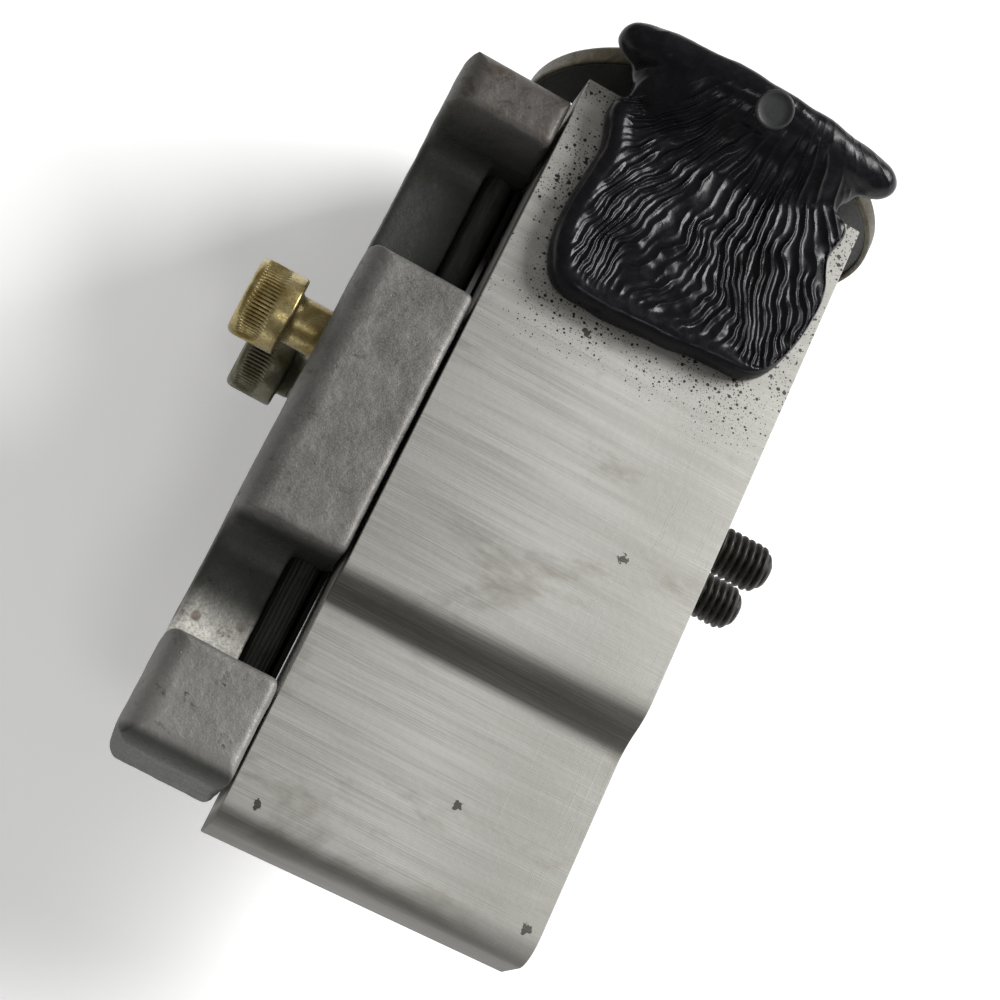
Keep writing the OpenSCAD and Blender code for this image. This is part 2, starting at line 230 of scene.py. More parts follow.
class Paint:
    """A procedural material under construction. Texture places are the object's own, in mm."""

    def __init__(self, name):
        self.mat = bpy.data.materials.new(name)
        self.mat.use_nodes = True
        self.nodes = self.mat.node_tree.nodes
        self.links = self.mat.node_tree.links
        self.shader = self.nodes["Principled BSDF"]
        where = self.nodes.new("ShaderNodeTexCoord")
        scale = self.nodes.new("ShaderNodeVectorMath")
        scale.operation = "SCALE"
        scale.inputs["Scale"].default_value = 1 / MM
        self.links.new(where.outputs["Object"], scale.inputs[0])
        self.place = scale.outputs[0]

    def set(self, **values):
        """Sets the shader's all-over values; an underscore stands for a space."""
        for key, value in values.items():
            self.shader.inputs[key.replace("_", " ")].default_value = value

    def stretched(self, x, y, z, shift=(0, 0, 0)):
        """The place, squeezed or stretched along each axis."""
        node = self.nodes.new("ShaderNodeMapping")
        node.inputs["Scale"].default_value = (x, y, z)
        node.inputs["Location"].default_value = shift
        self.links.new(self.place, node.inputs[0])
        return node.outputs[0]

    def noise(self, scale, detail=4.0, rough=0.55, place=None, warp=0.0):
        """Soft clouds, from 0 to 1; scale is about their number in a millimetre."""
        node = self.nodes.new("ShaderNodeTexNoise")
        node.inputs["Scale"].default_value = scale
        node.inputs["Detail"].default_value = detail
        node.inputs["Roughness"].default_value = rough
        node.inputs["Distortion"].default_value = warp
        self.links.new(place or self.place, node.inputs["Vector"])
        return node.outputs["Fac"]

    def spots(self, scale, place=None, flat=False):
        """Distance to the nearest of many scattered points; flat spreads them over X and Y only."""
        node = self.nodes.new("ShaderNodeTexVoronoi")
        node.voronoi_dimensions = "2D" if flat else "3D"
        node.inputs["Scale"].default_value = scale
        self.links.new(place or self.place, node.inputs["Vector"])
        return node.outputs["Distance"]

    def along(self, axis):
        """One coordinate of the place, in mm."""
        node = self.nodes.new("ShaderNodeSeparateXYZ")
        self.links.new(self.place, node.inputs[0])
        return node.outputs["XYZ".index(axis)]

    def math(self, op, a, b):
        node = self.nodes.new("ShaderNodeMath")
        node.operation = op
        for i, value in enumerate((a, b)):
            if hasattr(value, "is_output"):
                self.links.new(value, node.inputs[i])
            else:
                node.inputs[i].default_value = value
        return node.outputs[0]

    def both(self, *masks):
        """Where all the masks are 1."""
        whole = masks[0]
        for mask in masks[1:]:
            whole = self.math("MULTIPLY", whole, mask)
        return whole

    def span(self, value, low, high, out_low=0.0, out_high=1.0):
        """Maps low..high onto out_low..out_high, smoothly and clamped."""
        node = self.nodes.new("ShaderNodeMapRange")
        node.interpolation_type = "SMOOTHSTEP"
        self.links.new(value, node.inputs["Value"])
        node.inputs["From Min"].default_value = low
        node.inputs["From Max"].default_value = high
        node.inputs["To Min"].default_value = out_low
        node.inputs["To Max"].default_value = out_high
        return node.outputs["Result"]

    def ramp(self, value, *stops):
        """A colour ramp; stops are (place, (r, g, b))."""
        node = self.nodes.new("ShaderNodeValToRGB")
        self.links.new(value, node.inputs[0])
        items = node.color_ramp.elements
        while len(items) < len(stops):
            items.new(0.5)
        for item, (where, colour) in zip(items, stops):
            item.position = where
            item.color = (*colour, 1)
        return node.outputs["Color"]

    def mix(self, amount, a, b):
        """Colour a where amount is 0 and b where it is 1."""
        node = self.nodes.new("ShaderNodeMix")
        node.data_type = "RGBA"
        for socket, value in ((node.inputs[0], amount), (node.inputs[6], a), (node.inputs[7], b)):
            if hasattr(value, "is_output"):
                self.links.new(value, socket)
            elif isinstance(value, tuple):
                socket.default_value = (*value, 1)
            else:
                socket.default_value = value
        return node.outputs[2]

    def edges(self):
        """How convex the surface is at a point: about 0.5 on a flat."""
        node = self.nodes.new("ShaderNodeNewGeometry")
        return node.outputs["Pointiness"]

    def colour(self, value):
        self.links.new(value, self.shader.inputs["Base Color"])

    def rough(self, value):
        self.links.new(value, self.shader.inputs["Roughness"])

    def bump(self, *layers):
        """Layers of (height, depth in mm), one bump node after another."""
        normal = None
        for height, depth in layers:
            node = self.nodes.new("ShaderNodeBump")
            node.inputs["Strength"].default_value = 1.0
            node.inputs["Distance"].default_value = depth * MM
            self.links.new(height, node.inputs["Height"])
            if normal:
                self.links.new(normal, node.inputs["Normal"])
            normal = node.outputs["Normal"]
        self.links.new(normal, self.shader.inputs["Normal"])


# ---------------------------------------------------------------- materials

def extruded_aluminium():
    """Light grey with grain along X, fine scratches along Y near the free side, stains, dings and specks,
    with painted shade on the step's slope, at the nose's end and towards the free side."""
    p = Paint("extruded_aluminium")
    p.set(Metallic=0.30, IOR=1.5)
    x, y, z = p.along("X"), p.along("Y"), p.along("Z")
    grain = p.noise(1.0, 6, 0.65, p.stretched(0.05, 5.5, 5.5))
    broad = p.noise(1.0, 3, 0.5, p.stretched(0.02, 0.45, 0.45))
    cloud = p.noise(0.055, 4, 0.6)
    cross = p.noise(1.0, 5, 0.6, p.stretched(6.0, 0.05, 1.0))
    near_free_side = p.both(p.span(x, 0, 16), p.span(cloud, 0.36, 0.54))
    cross_mark = p.both(p.span(cross, 0.56, 0.72), near_free_side)
    tone = p.ramp(
        grain, (0.30, (0.32, 0.312, 0.285)), (0.52, (0.43, 0.421, 0.390)), (0.75, (0.55, 0.541, 0.508)))
    tone = p.mix(p.span(broad, 0.38, 0.64, 0.0, 0.6), tone, (0.54, 0.531, 0.50))
    # painted shade: the block darkens towards the free side
    tone = p.mix(p.span(x, -4, 18, 0.0, 0.62), tone, (0.245, 0.240, 0.215))
    tone = p.mix(p.math("MULTIPLY", cross_mark, 0.6), tone, (0.50, 0.495, 0.47))
    stain = p.noise(1.0, 5, 0.65, p.stretched(0.035, 0.075, 0.075), warp=0.4)
    tone = p.mix(p.span(stain, 0.52, 0.70, 0.0, 0.60), tone, (0.20, 0.185, 0.145))
    smear = p.noise(1.0, 4, 0.6, p.stretched(0.03, 0.22, 0.3, (7, 0, 0)))
    tone = p.mix(p.span(smear, 0.56, 0.72, 0.0, 0.35), tone, (0.33, 0.325, 0.305))
    # painted shade: darkens the step's slope and the nose's end; the slope's mask also darkens a band at the
    # top of the block's sides
    foot = TOP - DROP
    slope_depth = p.span(z, foot + 0.5, TOP - 0.9, 0.95, 0.85)
    on_slope = p.both(p.span(z, TOP, TOP - 0.9), p.span(z, foot + 0.02, foot + 0.5), slope_depth)
    nose_end = p.span(y, BLOCK_LOW[1] + 3.4, BLOCK_LOW[1] + 1.6, 0.0, 0.75)
    shade = p.both(p.math("MAXIMUM", on_slope, nose_end), p.span(grain, 0.25, 0.75, 1.0, 0.80))
    tone = p.mix(shade, tone, (0.052, 0.047, 0.040))
    ding_size = p.span(p.noise(1.1, 3, 0.6), 0.36, 0.62, 0.012, 0.030)
    ding_place = p.stretched(1, 1, 1, (11, 4, 0))
    ding = p.math("LESS_THAN", p.spots(0.030, ding_place, flat=True), ding_size)
    tone = p.mix(p.math("MULTIPLY", ding, 0.92), tone, (0.045, 0.036, 0.026))
    patchy = p.noise(0.16, 3, 0.6, p.stretched(1, 1, 1, (3, 9, 0)))
    near_pad = p.both(p.span(y, STEP + 36, STEP + 58), p.span(z, TOP - 0.5, TOP - 0.1))
    speck_size = p.both(p.span(patchy, 0.36, 0.62, 0.03, 0.22), near_pad)
    coarse = p.math("LESS_THAN", p.spots(0.62, flat=True), speck_size)
    fine_place = p.stretched(1, 1, 1, (5, 0, 2))
    fine = p.math("LESS_THAN", p.spots(1.5, fine_place, flat=True), p.math("MULTIPLY", speck_size, 0.95))
    tone = p.mix(p.math("MAXIMUM", coarse, fine), tone, (0.025, 0.022, 0.018))
    p.colour(tone)
    p.rough(p.span(grain, 0.3, 0.7, 0.52, 0.70))
    p.bump((grain, 0.035), (p.spots(0.9), 0.012), (cross_mark, 0.02), (p.math("SUBTRACT", 1.0, ding), 0.05))
    return p.mat


def cast_aluminium():
    """Matt sand-grained grey with pits and brown grime, darker at the far pad, with painted shade in the
    recesses and on the near end's face, and a painted highlight and rust spots on the lower recess's floor."""
    p = Paint("cast_aluminium")
    p.set(Metallic=0.45, IOR=1.55)
    x, y, z = p.along("X"), p.along("Y"), p.along("Z")
    floor = TOP - RECESS_D
    low_wall = LOW_RECESS[0]
    fine = p.noise(3.2, 5, 0.7)
    cloud = p.noise(0.14, 5, 0.62, warp=0.3)
    tone = p.ramp(
        cloud, (0.30, (0.105, 0.100, 0.093)), (0.5, (0.150, 0.143, 0.134)), (0.70, (0.200, 0.192, 0.181)))
    tone = p.mix(p.span(fine, 0.42, 0.7, 0.0, 0.35), tone, (0.30, 0.29, 0.275))
    worn = p.span(p.edges(), 0.52, 0.60)
    tone = p.mix(p.math("MULTIPLY", worn, 0.12), tone, (0.32, 0.31, 0.295))
    tone = p.mix(p.span(y, STEP + 52, STEP + 74, 0.0, 0.55), tone, (0.062, 0.052, 0.044))
    tone = p.mix(p.span(y, STEP - 18, STEP - 28, 0.0, 0.45), tone, (0.30, 0.29, 0.275))
    # painted shade: darker lower down, most in the recesses, and on the near end's face
    in_recess = p.both(
        p.span(z, floor - 1.6, floor - 0.6), p.span(x, JAW_LOW[0] + 0.3, JAW_LOW[0] + 0.8),
        p.span(y, JAW_HIGH[1] - 3, JAW_HIGH[1] - 6))
    depth = p.both(p.span(z, TOP - 6, TOP - 1.2, 1.0, 0.0), p.span(in_recess, 0.0, 1.0, 0.45, 1.0))
    depth = p.math("MAXIMUM", depth, p.span(y, JAW_LOW[1] + 1.5, JAW_LOW[1] + 3.0, 1.0, 0.0))
    tone = p.mix(p.math("MULTIPLY", depth, 0.80), tone, (0.028, 0.032, 0.026))
    # painted highlight: a bright sparkly patch on the lower recess's floor and fillet beside the near pad;
    # rust spots lie in it
    wear_and_highlight = p.both(
        p.span(y, low_wall + 11, low_wall + 3), p.span(z, TOP - 2, TOP - 5),
        p.span(y, low_wall - 0.9, low_wall - 0.4), p.span(z, floor - 0.9, floor - 0.4))
    glint = p.both(wear_and_highlight, p.span(p.noise(1.6, 4, 0.7), 0.30, 0.62, 0.55, 1.0))
    tone = p.mix(p.math("MULTIPLY", glint, 0.9), tone, (0.72, 0.70, 0.64))
    rust = p.span(p.spots(0.17, p.stretched(1, 1, 1, (3, 1, 0)), flat=True), 0.10, 0.16, 1.0, 0.0)
    tone = p.mix(p.math("MULTIPLY", p.both(wear_and_highlight, rust), 0.8), tone, (0.09, 0.05, 0.02))
    grime = p.noise(0.32, 5, 0.7, p.stretched(1, 1, 1, (4, 2, 7)), warp=0.5)
    grime = p.math("ADD", grime, p.span(y, STEP + 66, STEP + 80, 0.0, 0.09))
    tone = p.mix(p.span(grime, 0.58, 0.72, 0.0, 0.7), tone, (0.055, 0.038, 0.022))
    pit = p.both(p.span(p.spots(0.23), 0.05, 0.13, 1.0, 0.0), p.span(p.noise(1.1, 4, 0.8), 0.53, 0.62))
    tone = p.mix(p.math("MULTIPLY", pit, 0.5), tone, (0.085, 0.078, 0.068))
    p.colour(tone)
    p.rough(p.span(fine, 0.35, 0.65, 0.42, 0.62))
    p.bump((fine, 0.045), (p.noise(0.9, 4, 0.6), 0.10), (p.math("SUBTRACT", 1.0, pit), 0.25))
    return p.mat


def plated(name, low, high, grime, roughness=0.34):
    """Zinc plate: two tones that drift into each other, dull patches and grime in the hollows."""
    p = Paint(name)
    p.set(Metallic=0.9)
    drift = p.noise(0.30, 4, 0.6, warp=0.8)
    fine = p.noise(2.4, 5, 0.7)
    tone = p.mix(p.span(drift, 0.35, 0.65), low, high)
    tone = p.mix(p.span(fine, 0.5, 0.75, 0.0, 0.4), tone, grime)
    hollow = p.span(p.edges(), 0.40, 0.495, 1.0, 0.0)
    tone = p.mix(p.math("MULTIPLY", hollow, 0.85), tone, grime)
    p.colour(tone)
    p.rough(p.span(fine, 0.3, 0.7, roughness - 0.08, roughness + 0.14))
    p.bump((fine, 0.02), (p.noise(0.7, 3, 0.5), 0.03))
    return p.mat


def black_brown_thread():
    """Black-brown thread end, a little lighter on its crests."""
    p = Paint("black_brown_thread")
    p.set(Metallic=0.5)
    drift = p.noise(0.5, 4, 0.6)
    fine = p.noise(4.0, 4, 0.7)
    tone = p.ramp(
        drift, (0.35, (0.006, 0.0055, 0.005)), (0.6, (0.015, 0.0125, 0.009)), (0.75, (0.030, 0.024, 0.015)))
    crest = p.span(p.edges(), 0.52, 0.62)
    tone = p.mix(p.math("MULTIPLY", crest, 0.35), tone, (0.09, 0.078, 0.062))
    p.colour(tone)
    p.rough(p.span(fine, 0.3, 0.7, 0.36, 0.6))
    p.bump((fine, 0.03))
    return p.mat


def machined(name, low, high, roughness=0.3, metallic=1.0):
    """Turned or ground metal with fine tool lines and slight stains."""
    p = Paint(name)
    p.set(Metallic=metallic)
    tool = p.noise(1.0, 4, 0.6, p.stretched(4.0, 0.2, 4.0))
    stain = p.noise(0.25, 4, 0.6, warp=0.4)
    tone = p.mix(p.span(tool, 0.3, 0.7), low, high)
    tone = p.mix(p.span(stain, 0.55, 0.72, 0.0, 0.4), tone, tuple(v * 0.45 for v in low))
    p.colour(tone)
    p.rough(p.span(tool, 0.3, 0.7, roughness - 0.07, roughness + 0.1))
    p.bump((tool, 0.012))
    return p.mat


def wear_strip():
    """A dark oiled strip, rubbed bright just above the middle pad."""
    p = Paint("wear_strip")
    p.set(Metallic=0.85)
    tool = p.noise(1.0, 4, 0.6, p.stretched(4.0, 0.2, 4.0))
    y = p.along("Y")
    wear_and_highlight = p.both(p.span(y, STEP + 58, STEP + 50), p.span(y, STEP + 30, STEP + 40))
    tone = p.mix(p.span(tool, 0.3, 0.7), (0.010, 0.010, 0.009), (0.026, 0.026, 0.023))
    p.colour(p.mix(wear_and_highlight, tone, (0.55, 0.55, 0.54)))
    p.rough(p.span(tool, 0.3, 0.7, 0.55, 0.70))
    p.bump((tool, 0.012))
    return p.mat


def mastic():
    """Black mastic with a greasy film, a little dust and fine creases."""
    p = Paint("black_mastic")
    p.set(Metallic=0.0, IOR=1.46, Specular_IOR_Level=0.19, Coat_Weight=0.03, Coat_Roughness=0.1)
    film = p.noise(0.35, 5, 0.65, warp=0.5)
    fine = p.noise(2.6, 4, 0.6)
    tone = p.ramp(
        film, (0.30, (0.0045, 0.0045, 0.0060)), (0.55, (0.0075, 0.0072, 0.0095)),
        (0.75, (0.014, 0.0135, 0.017)))
    dust = p.span(p.spots(1.5), 0.03, 0.09, 1.0, 0.0)
    dust = p.both(dust, p.span(p.noise(0.5, 3), 0.5, 0.6))
    tone = p.mix(p.math("MULTIPLY", dust, 0.25), tone, (0.20, 0.19, 0.18))
    p.colour(tone)
    p.rough(p.span(film, 0.35, 0.65, 0.20, 0.38))
    p.bump((p.noise(0.8, 4, 0.6, warp=0.4), 0.04), (fine, 0.015))
    return p.mat


def facing(name, low, high):
    """Dull dark facing or plastic with a little dust."""
    p = Paint(name)
    p.set(Metallic=0.0)
    drift = p.noise(0.18, 4, 0.6)
    fine = p.noise(2.2, 4, 0.7)
    tone = p.ramp(drift, (0.35, low), (0.65, high))
    tone = p.mix(p.span(fine, 0.55, 0.8, 0.0, 0.3), tone, (0.09, 0.088, 0.078))
    p.colour(tone)
    p.rough(p.span(fine, 0.3, 0.7, 0.45, 0.7))
    p.bump((fine, 0.04))
    return p.mat


def felt():
    """Dark fibrous felt."""
    p = Paint("felt")
    p.set(Sheen_Weight=0.3)
    fibre = p.noise(6.0, 6, 0.8)
    p.colour(p.mix(p.span(fibre, 0.3, 0.7), (0.05, 0.045, 0.04), (0.13, 0.12, 0.105)))
    p.rough(p.span(fibre, 0.3, 0.7, 0.8, 0.98))
    p.bump((fibre, 0.12))
    return p.mat


MATERIALS = {
    "extruded_aluminium": extruded_aluminium(),
    "cast_aluminium": cast_aluminium(),
    "yellow_zinc": plated(
        "yellow_zinc", (0.30, 0.225, 0.085), (0.46, 0.38, 0.19), (0.045, 0.036, 0.018), 0.30),
    # painted shade: the lower screw's zinc, a darker and greener copy of the yellow zinc, as it lies in the
    # upper screw's shadow
    "shaded_zinc": plated(
        "shaded_zinc", (0.15, 0.142, 0.095), (0.23, 0.22, 0.16), (0.025, 0.024, 0.018), 0.36),
    "olive_zinc": plated(
        "olive_zinc", (0.040, 0.033, 0.019), (0.078, 0.067, 0.044), (0.012, 0.010, 0.006), 0.42),
    "black_brown_thread": black_brown_thread(),
    "steel": machined("steel", (0.42, 0.42, 0.43), (0.60, 0.60, 0.61)),
    "oily_rod": machined("oily_rod", (0.020, 0.022, 0.019), (0.055, 0.058, 0.051), 0.50, metallic=0.35),
    "wear_strip": wear_strip(),
    "bronze": machined("bronze", (0.46, 0.30, 0.13), (0.62, 0.43, 0.20), 0.34),
    "black_mastic": mastic(),
    "black_facing": facing("black_facing", (0.018, 0.019, 0.018), (0.035, 0.037, 0.033)),
    "dull_plastic": facing("dull_plastic", (0.022, 0.023, 0.024), (0.040, 0.041, 0.042)),
    "felt": felt(),
}


def paint(obj, name):
    obj.data.materials.clear()
    obj.data.materials.append(MATERIALS[name])


# ---------------------------------------------------------------- block

EARLY_STEP = 2.3                          # how much sooner the step starts at the free side
SHORT_NOSE = 1.6                          # how much sooner the nose ends there
INSERT_R = 5.5                            # thread insert
INSERT_L = 18.0
BUSH_R = 9.52                             # bore for the swivel's bushes
RACE_R = 15.02                            # pocket for the thrust race


def block_outline(early=0.0, short=0.0):
    """The block's side outline as (Y, Z), from the end face round to the nose.  The step starts `early`
    mm sooner and the nose ends `short` mm sooner than on the left side: both were dressed by hand."""
    run = STEP_RUN + early
    step_r = (run ** 2 + DROP ** 2) / (4 * DROP)
    sweep = math.degrees(math.asin(run / 2 / step_r))
    low = TOP - DROP
    under = low - NOSE_T
    nose = BLOCK_LOW[1] + short
    bottom = BLOCK_LOW[2]
    body = STEP - 2
    points = [(END, bottom), (END, TOP)]
    points += arc(STEP + early, TOP - step_r, step_r, 90, 90 + sweep, 14)
    points += arc(STEP - STEP_RUN, low + step_r, step_r, 270 + sweep, 270, 14)[1:]
    points += arc(nose + NOSE_R, low - NOSE_R, NOSE_R, 90, 180, 16)
    points += [(nose, under), (body - UNDER_R, under)]
    points += arc(body - UNDER_R, under - UNDER_R, UNDER_R, 90, 0, 10)[1:]
    points += [(body, bottom)]
    return points


def mid_yz(node):
    """Where a node's middle lies along Y and Z."""
    low, high = mm_box(node)
    return (low[1] + high[1]) / 2, (low[2] + high[2]) / 2


def make_block():
    """The block: its outline run along X, bored for the screws, inserts, guide pins and swivel."""
    obj = extruded("block_body", block_outline(), LEFT, RIGHT, block_outline(EARLY_STEP, SHORT_NOSE))
    cutters = []
    for z in (UPPER_Z, LOWER_Z):
        cutters.append(cylinder_cutter((LEFT - 1, SCREW_Y, z), (RIGHT + 1, SCREW_Y, z), SHANK_R + 0.3, 0))
        mouth = (RIGHT - INSERT_L, SCREW_Y, z)
        cutters.append(cylinder_cutter(mouth, (RIGHT + 1, SCREW_Y, z), INSERT_R, 0))
    for node in ("guide_pin_low", "guide_pin_top"):
        y, z = mid_yz(node)
        end = mm_box(node)[1][0] + 0.05
        cutters.append(cylinder_cutter((LEFT - 1, y, z), (end, y, z), 3.02, 0))
    bush_y = mm_box("bush_inner")[0][1] - 3
    race_y = mm_box("thrust_race_block")[0][1] - 0.02
    cutters.append(cylinder_cutter((0, bush_y, 0), (0, END + 1, 0), BUSH_R, 1))
    cutters.append(cylinder_cutter((0, race_y, 0), (0, END + 1, 0), RACE_R, 1))
    cut(obj, cutters)
    bevel(obj, 0.28, 2, 40, "MITER_ARC")
    shade_by_angle(obj)
    paint(obj, "extruded_aluminium")
    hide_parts("clamp_block")
    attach(obj, "block")


# ---------------------------------------------------------------- jaw

DRAFT = 0.05                              # draft of the jaw's outer face, mm for each mm down
JAW_FILLET = 1.3                          # fillet of the jaw's inner edges
JAW_VOXEL = 0.42                          # size of the jaw's skin voxels


def recess_outline(span, lean=0.0):
    """A recess with round floor corners, from its high-Y edge, `lean` further out, to its low-Y edge."""
    y0, y1 = span
    bend = TOP - RECESS_D + RECESS_R
    points = [(y1 + lean, TOP)]
    points += arc(y1 - RECESS_R, bend, RECESS_R, 0, -90, 10)
    points += arc(y0 + RECESS_R, bend, RECESS_R, 270, 180, 10)
    return points + [(y0, TOP)]


def jaw_cutters():
    """Channels for the rods, slots for the strips and holes for the screws and guide pins."""
    cutters = []
    for rod in ("jaw_rod_low", "jaw_rod_top"):
        low, high = mm_box(rod)
        x, z = (low[0] + high[0]) / 2, (low[2] + high[2]) / 2
        cutters.append(cylinder_cutter((x, low[1], z), (x, high[1], z), 2.55, 1))
        corner = [low[0] - 0.05, low[1] + 3, low[2] - 0.05]
        far = [JAW_HIGH[0] + 3, high[1] - 3, TOP - 8]
        cutters.append(box_cutter(corner, far))
    for strip in ("wear_strip_low", "wear_strip_top"):
        low, high = mm_box(strip)
        cutters.append(box_cutter(low - (0.02, 0.05, 0.05), high + (3, 0.05, 0.05)))
    for z in (UPPER_Z, LOWER_Z):
        outside = (JAW_LOW[0] - 1, SCREW_Y, z)
        cutters.append(cylinder_cutter(outside, (JAW_HIGH[0] + 1, SCREW_Y, z), SHANK_R + 0.12, 0))
    for node in ("guide_pin_low", "guide_pin_top"):
        y, z = mid_yz(node)
        bottom = mm_box(node)[0][0] - 1.6
        cutters.append(cylinder_cutter((bottom, y, z), (JAW_HIGH[0] + 3, y, z), 3.5, 0))
    return cutters


def make_jaw():
    """The casting: a filleted outline with its holes, given one skin, rounded, drafted and roughened."""
    y_end, y_top = JAW_LOW[1], JAW_HIGH[1]
    body_y = STEP - 2
    under = TOP - JAW_NOSE_T
    outline = [(y_top, JAW_LOW[2]), (y_top, TOP)]
    outline += recess_outline(TOP_RECESS, WALL_LEAN)
    outline += recess_outline(LOW_RECESS)
    outline += [(y_end, TOP), (y_end, under), (body_y, under), (body_y, JAW_LOW[2])]
    obj = extruded("jaw_casting", outline, JAW_LOW[0], JAW_HIGH[0])
    bevel(obj, JAW_FILLET, 6, 50)
    cut(obj, jaw_cutters())
    skin(obj, JAW_VOXEL, 6)
    roughen(obj, 0.09, 0.32)
    round_outer_corners(obj)
    draft_outer_face(obj)
    keep_inside(obj, JAW_LOW, JAW_HIGH)
    shade_smooth(obj.data)
    paint(obj, "cast_aluminium")
    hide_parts("cast_jaw")
    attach(obj, "jaw")


def box_cutter(low, high):
    """A plain box to cut with."""
    x0, y0, z0 = low
    x1, y1, z1 = high
    return extruded("cutter", [(y0, z0), (y1, z0), (y1, z1), (y0, z1)], x0, x1)


def roughen(obj, depth_mm, scale_per_mm):
    """Pushes vertices along their normals by smooth noise, as a casting's skin has."""
    normals = [vert.normal.copy() for vert in obj.data.vertices]
    for vert, normal in zip(obj.data.vertices, normals):
        p = vert.co / MM
        n = noise.noise(p * scale_per_mm) + 0.5 * noise.noise(p * scale_per_mm * 3.1)
        vert.co += normal * (n * depth_mm - depth_mm * 0.5) * MM


def rounded(a, b, r):
    """A point near a square corner, a and b inside its two faces, pulled onto a round corner of radius r."""
    if a >= r or b >= r:
        return a, b
    reach = math.hypot(r - a, r - b)
    if reach <= r:
        return a, b
    return r - (r - a) * r / reach, r - (r - b) * r / reach


def round_outer_corners(obj):
    """Large soft corners on the jaw's outer side and ends, as the casting has."""
    for vert in obj.data.vertices:
        x, y, z = vert.co / MM
        side, down = x - JAW_LOW[0], TOP - z
        near, far = y - JAW_LOW[1], JAW_HIGH[1] - y
        side, near = rounded(side, near, 3.0)
        side, far = rounded(side, far, 3.0)
        side, down = rounded(side, down, 4.6)
        near, down = rounded(near, down, 4.4)
        far, down = rounded(far, down, 3.6)
        y = JAW_LOW[1] + near if near < 5 else y
        y = JAW_HIGH[1] - far if far < 5 else y
        vert.co = Vector((JAW_LOW[0] + side, y, TOP - down)) * MM


def draft_outer_face(obj):
    """Leans the jaw's outer face inward below the pads, as a casting's draft does."""
    for vert in obj.data.vertices:
        x, y, z = vert.co / MM
        near_face = 1 - smooth_step(x, JAW_LOW[0] + 1, JAW_LOW[0] + 6)
        vert.co.x += near_face * DRAFT * max(TOP - 8 - z, 0.0) * MM


def keep_inside(obj, low, high):
    """Keeps every vertex inside the CAD piece's own box."""
    count = len(obj.data.vertices)
    flat = np.empty(count * 3)
    obj.data.vertices.foreach_get("co", flat)
    verts = np.clip(flat.reshape(-1, 3), np.array(low) * MM, np.array(high) * MM)
    obj.data.vertices.foreach_set("co", verts.ravel())
    obj.data.update()


# ---------------------------------------------------------------- screws

def screw_rows(x0, tip, thread_from):
    """Rows of (x, radius) for a cap screw's shank, from the head's bearing face at x0 to its tip."""
    rows = [(x0, SHANK_R + 0.35), (x0 + 0.35, SHANK_R)]
    rows += [(x, SHANK_R) for x in np.arange(x0 + 1.5, thread_from, 2.0)]
    depth = 0.40 * PITCH
    steps = 10
    count = int((tip - thread_from) / PITCH * steps)
    for i in range(count + 1):
        x = thread_from + i * PITCH / steps

        def radius(angles, x=x):
            phase = (x / PITCH - angles / (2 * np.pi)) % 1.0
            tooth = np.clip(np.abs(phase - 0.5) * 2.6 - 0.3, 0, 1) ** 1.3
            fade = np.clip((x - thread_from) / 1.5, 0, 1)
            dome = np.clip((x - (tip - 2.8)) / 2.8, 0, 1)
            return SHANK_R - 0.03 - depth * tooth * fade * (1 - dome ** 3) - 2.0 * dome ** 2.4
        rows.append((x, radius))
    rows.append((tip, 1.9))
    return rows


def hexagon(angles, across_flats):
    """Radius of a hexagon at each angle."""
    turn = (angles + np.pi / 6) % (np.pi / 3) - np.pi / 6
    return across_flats / 2 / np.cos(turn)


def head_rows(x0):
    """Rows of a knurled socket head, from the bottom of its hex socket out and round to its bearing face."""
    top = x0 - HEAD_H
    ridges = 64
    knurl_end = x0 - 2.9

    def socket(angles):
        return hexagon(angles, SOCKET)

    def socket_mouth(angles):
        return socket(angles) + 0.45

    rows = [(top + 4.6, 0.3), (top + 4.0, socket), (top + 0.5, socket)]
    rows += [(top, socket_mouth), (top, HEAD_R - 1.25)]
    for x, r in arc(top + 1.05, HEAD_R - 1.05, 1.05, 180, 90, 7)[1:]:
        rows.append((x, r - 0.08))
    for x in np.linspace(top + 1.25, knurl_end, 7):
        ends = min(1.0, (x - top - 0.9) / 0.7, (knurl_end - x) / 0.35)

        def ridge(angles, ends=max(ends, 0.0)):
            wave = np.abs(np.sin(angles * ridges / 2))
            return HEAD_R - 0.34 * ends * (1 - wave) ** 0.8 - 0.03
        rows.append((x, ridge))
    rows += [(knurl_end + 0.25, HEAD_R - 0.02), (x0 - 0.5, HEAD_R - 0.02), (x0 - 0.15, HEAD_R - 0.12)]
    rows.append((x0, HEAD_R - 0.45))
    return rows


def make_screw(name, node, z, plain, head_paint):
    """A cap screw in two meshes, its knurled head and its shank, so that each has the angles it needs.
    plain is the distance of the thread from the head's top."""
    low, high = mm_box(node)
    thread_from = low[0] + plain
    bearing = low[0] + HEAD_H
    head = turned(name + "_head", head_rows(bearing), 384, "x", (0, SCREW_Y, z))
    shank = turned(name + "_shank", screw_rows(bearing, high[0], thread_from), 56, "x", (0, SCREW_Y, z))
    shade_by_angle(head, 50)
    shade_by_angle(shank, 70)
    paint(head, head_paint)
    paint(shank, head_paint)
    # the thread's far end is black-brown
    shank.data.materials.append(MATERIALS["black_brown_thread"])
    dark_from = (RIGHT - 20) * MM
    for face in shank.data.polygons:
        if face.center.x > dark_from:
            face.material_index = 1
    for piece in (head, shank):
        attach(piece, "screw_upper" if "upper" in node else "screw_lower")
        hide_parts(node)


# ---------------------------------------------------------------- flange cup

RIM_R = CUP_HIGH[0]                       # outer radius of the cup's rim
CUP_BORE = 6.02                           # hole for the swivel pin
CUP_WALL = 1.0
BOLT_CIRCLE_R = 24.0
BOLT_HOLE_R = 2.76


